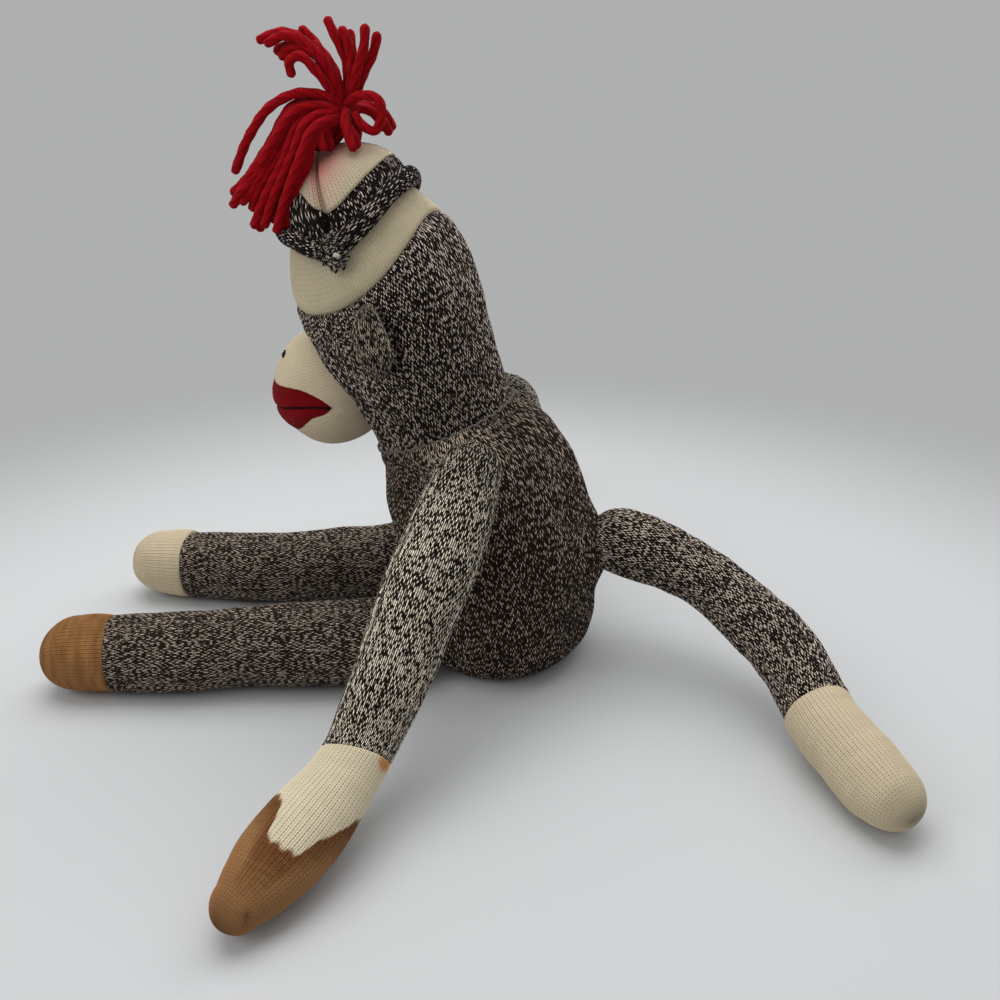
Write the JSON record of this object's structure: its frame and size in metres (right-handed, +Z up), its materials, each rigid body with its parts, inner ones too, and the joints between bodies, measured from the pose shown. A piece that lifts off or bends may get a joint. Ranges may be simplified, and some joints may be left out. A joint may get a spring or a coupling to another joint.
{
  "type": "sock monkey doll",
  "caption": "Sock monkey soft toy sitting with legs forward, in marled and cream knit, with a stuffed muzzle, a rolled cap with a red yarn pompom, long arms and a tail.",
  "frame": {"origin": "middle of the flat seat, on the floor", "axes": "+Z up; the doll faces -Y and its left arm is on the +X side"},
  "size_m": [0.4862, 0.4337, 0.3244],
  "materials": {
    "marl_knit": "brown-black and off-white marled knit",
    "pale_marl_knit": "marled knit, looser and paler",
    "cream_knit": "ribbed cream knit",
    "tan_knit": "ribbed knit, tan",
    "stuffing": "loose polyester fibre",
    "red_yarn": "soft twisted yarn",
    "black_thread": "sewing and embroidery thread",
    "pale_thread": "light grey sewing thread"
  },
  "bodies": {
    "torso": {"torso_skin": "marl_knit", "torso_stuffing": "stuffing"},
    "neck": {"neck_thread": "pale_thread"},
    "head": {"head_skin": "marl_knit", "head_crown_knit": "cream_knit", "head_stuffing": "stuffing", "muzzle_skin": "cream_knit", "muzzle_stuffing": "stuffing", "mouth_thread": "black_thread", "left_nostril_stitch": "black_thread", "right_nostril_stitch": "black_thread", "left_eye_stitch": "black_thread", "right_eye_stitch": "black_thread", "cap_band": "marl_knit", "cap_crown": "cream_knit", "cap_brim_roll": "pale_marl_knit", "cap_knot": "pale_marl_knit"},
    "left_ear": {"left_ear": "marl_knit"},
    "right_ear": {"right_ear": "marl_knit"},
    "pompom": {"pompom_yarn": "red_yarn", "pompom_tie": "red_yarn"},
    "left_shoulder": {"left_arm_root": "pale_marl_knit"},
    "left_arm": {"left_arm_sleeve": "pale_marl_knit", "left_arm_stuffing": "stuffing"},
    "left_hand": {"left_hand_knit": "cream_knit", "left_hand_stuffing": "stuffing"},
    "left_hip": {"left_leg_root": "marl_knit"},
    "left_thigh": {"left_thigh_sleeve": "marl_knit", "left_thigh_stuffing": "stuffing"},
    "left_shin": {"left_shin_sleeve": "marl_knit", "left_shin_stuffing": "stuffing", "left_foot_knit": "tan_knit"},
    "right_shoulder": {"right_arm_root": "pale_marl_knit"},
    "right_arm": {"right_arm_sleeve": "pale_marl_knit", "right_arm_stuffing": "stuffing"},
    "right_hand": {"right_hand_knit": "cream_knit", "right_hand_stuffing": "stuffing"},
    "right_hip": {"right_leg_root": "marl_knit"},
    "right_thigh": {"right_thigh_sleeve": "marl_knit", "right_thigh_stuffing": "stuffing"},
    "right_shin": {"right_shin_sleeve": "marl_knit", "right_shin_stuffing": "stuffing", "right_foot_knit": "cream_knit"},
    "tail_base": {"tail_root": "marl_knit"},
    "tail": {"tail_sleeve": "marl_knit", "tail_stuffing": "stuffing"},
    "tail_tip": {"tail_tip_knit": "cream_knit", "tail_tip_stuffing": "stuffing"}
  },
  "joints": [
    {"name": "neck_turn", "type": "hinge", "parent": "torso", "child": "neck", "pos_m": [0, -0.03, 0.1355], "axis": [0, -0.3746, 0.9272], "range_deg": [-60, 60]},
    {"name": "head_nod", "type": "hinge", "parent": "neck", "child": "head", "pos_m": [0, -0.03, 0.1355], "axis": [-0.9821, 0.1295, 0.1371], "range_deg": [-8, 15]},
    {"name": "left_ear_flap", "type": "hinge", "parent": "head", "child": "left_ear", "pos_m": [0.05711, -0.0487, 0.19432], "axis": [0.0811, -0.3665, 0.9269], "range_deg": [-35, 35], "stiffness_Nm_per_rad": 0.002},
    {"name": "right_ear_flap", "type": "hinge", "parent": "head", "child": "right_ear", "pos_m": [-0.04196, -0.03564, 0.20815], "axis": [0.0811, -0.3665, 0.9269], "range_deg": [-35, 35], "stiffness_Nm_per_rad": 0.002},
    {"name": "pompom_tilt", "type": "hinge", "parent": "head", "child": "pompom", "pos_m": [0.01143, -0.08168, 0.26619], "axis": [0.9821, -0.1295, -0.1371], "range_deg": [-8, 8], "stiffness_Nm_per_rad": 0.006},
    {"name": "left_shoulder_swing", "type": "hinge", "parent": "torso", "child": "left_shoulder", "pos_m": [0.057, -0.006, 0.126], "axis": [-1, 0, 0], "range_deg": [-45, 125]},
    {"name": "left_arm_spread", "type": "hinge", "parent": "left_shoulder", "child": "left_arm", "pos_m": [0.057, -0.006, 0.126], "axis": [0, -1, 0], "range_deg": [-8, 60]},
    {"name": "left_wrist_bend", "type": "hinge", "parent": "left_arm", "child": "left_hand", "pos_m": [0.14872, -0.03866, 0.03393], "axis": [-0.3354, -0.9421, 0], "range_deg": [-60, 35]},
    {"name": "right_shoulder_swing", "type": "hinge", "parent": "torso", "child": "right_shoulder", "pos_m": [-0.057, -0.006, 0.126], "axis": [-1, 0, 0], "range_deg": [-30, 150]},
    {"name": "right_arm_spread", "type": "hinge", "parent": "right_shoulder", "child": "right_arm", "pos_m": [-0.057, -0.006, 0.126], "axis": [0, 1, 0], "range_deg": [-20, 50]},
    {"name": "right_wrist_bend", "type": "hinge", "parent": "right_arm", "child": "right_hand", "pos_m": [-0.17303, -0.00803, 0.059], "axis": [-0.0174, 0.9998, 0], "range_deg": [-45, 50]},
    {"name": "left_hip_lift", "type": "hinge", "parent": "torso", "child": "left_hip", "pos_m": [0.0466, -0.0528, 0.024], "axis": [-1, 0, 0], "range_deg": [-85, 40]},
    {"name": "left_leg_spread", "type": "hinge", "parent": "left_hip", "child": "left_thigh", "pos_m": [0.0466, -0.0528, 0.024], "axis": [0, 0, 1], "range_deg": [-12, 50]},
    {"name": "left_knee_bend", "type": "hinge", "parent": "left_thigh", "child": "left_shin", "pos_m": [0.06338, -0.13915, 0.02139], "axis": [0.9816, 0.1908, 0], "range_deg": [-15, 72]},
    {"name": "right_hip_lift", "type": "hinge", "parent": "torso", "child": "right_hip", "pos_m": [-0.0466, -0.0528, 0.024], "axis": [-1, 0, 0], "range_deg": [-85, 40]},
    {"name": "right_leg_spread", "type": "hinge", "parent": "right_hip", "child": "right_thigh", "pos_m": [-0.0466, -0.0528, 0.024], "axis": [0, 0, 1], "range_deg": [-55, 10]},
    {"name": "right_knee_bend", "type": "hinge", "parent": "right_thigh", "child": "right_shin", "pos_m": [-0.02831, -0.13884, 0.02139], "axis": [0.9781, 0.2079, 0], "range_deg": [-15, 70]},
    {"name": "tail_lift", "type": "hinge", "parent": "torso", "child": "tail_base", "pos_m": [0, 0.0645, 0.068], "axis": [1, 0, 0], "range_deg": [-15, 60]},
    {"name": "tail_swing", "type": "hinge", "parent": "tail_base", "child": "tail", "pos_m": [0, 0.0645, 0.068], "axis": [0, 0, 1], "range_deg": [-10, 80]},
    {"name": "tail_tip_bend", "type": "hinge", "parent": "tail", "child": "tail_tip", "pos_m": [0.07316, 0.15939, 0.02698], "axis": [0.3822, 0.1391, 0.9135], "range_deg": [-40, 45]}
  ]
}
